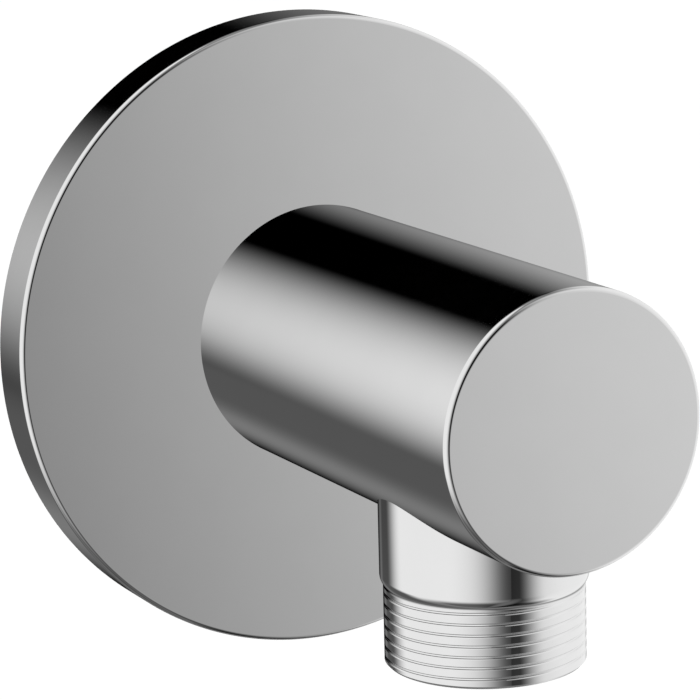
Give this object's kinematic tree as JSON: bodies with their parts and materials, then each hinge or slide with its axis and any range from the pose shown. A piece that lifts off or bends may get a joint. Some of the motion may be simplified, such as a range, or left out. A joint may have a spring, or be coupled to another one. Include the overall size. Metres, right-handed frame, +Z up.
{
  "type": "wall outlet elbow",
  "caption": "Chromed round wall outlet that turns a wall water supply down into a hand-shower hose thread, with a non-return valve inside.",
  "frame": {"origin": "where the body's axis meets the wall, in the plane of the plate's back rim", "axes": "+Y into the wall along the inlet, +Z up, the outlet points along -Z, +X to the right as seen from the room"},
  "size_m": [0.0712, 0.0784, 0.0712],
  "materials": {
    "chrome_plate": "polished chrome",
    "chrome_body": "polished chrome",
    "chrome_outlet": "polished chrome, turned",
    "brass": "bare turned brass",
    "rubber": "black nitrile rubber",
    "seal_foam": "closed-cell foam",
    "stainless": "stainless steel",
    "spring_steel": "drawn stainless wire",
    "valve_plastic": "moulded acetal",
    "poppet_plastic": "moulded acetal, grey"
  },
  "bodies": {
    "fitting": {"escutcheon": "chrome_plate", "escutcheon_o_ring": "rubber", "wall_seal": "seal_foam", "elbow_body": "chrome_body", "wall_nipple": "brass", "spigot_o_ring_front": "rubber", "spigot_o_ring_rear": "rubber", "locking_screw": "stainless", "outlet_nipple": "chrome_outlet", "outlet_o_ring": "rubber", "valve_housing": "valve_plastic", "valve_o_ring": "rubber", "valve_guide": "valve_plastic", "valve_spring": "spring_steel"},
    "poppet": {"valve_poppet": "poppet_plastic", "poppet_seal": "rubber"}
  },
  "joints": [
    {"name": "poppet_slide", "type": "slide", "parent": "fitting", "child": "poppet", "axis": [0, 0, -1], "range_m": [0, 0.0022], "stiffness_N_per_m": 60, "springref_m": -0.002, "deforming": ["valve_spring"]}
  ]
}
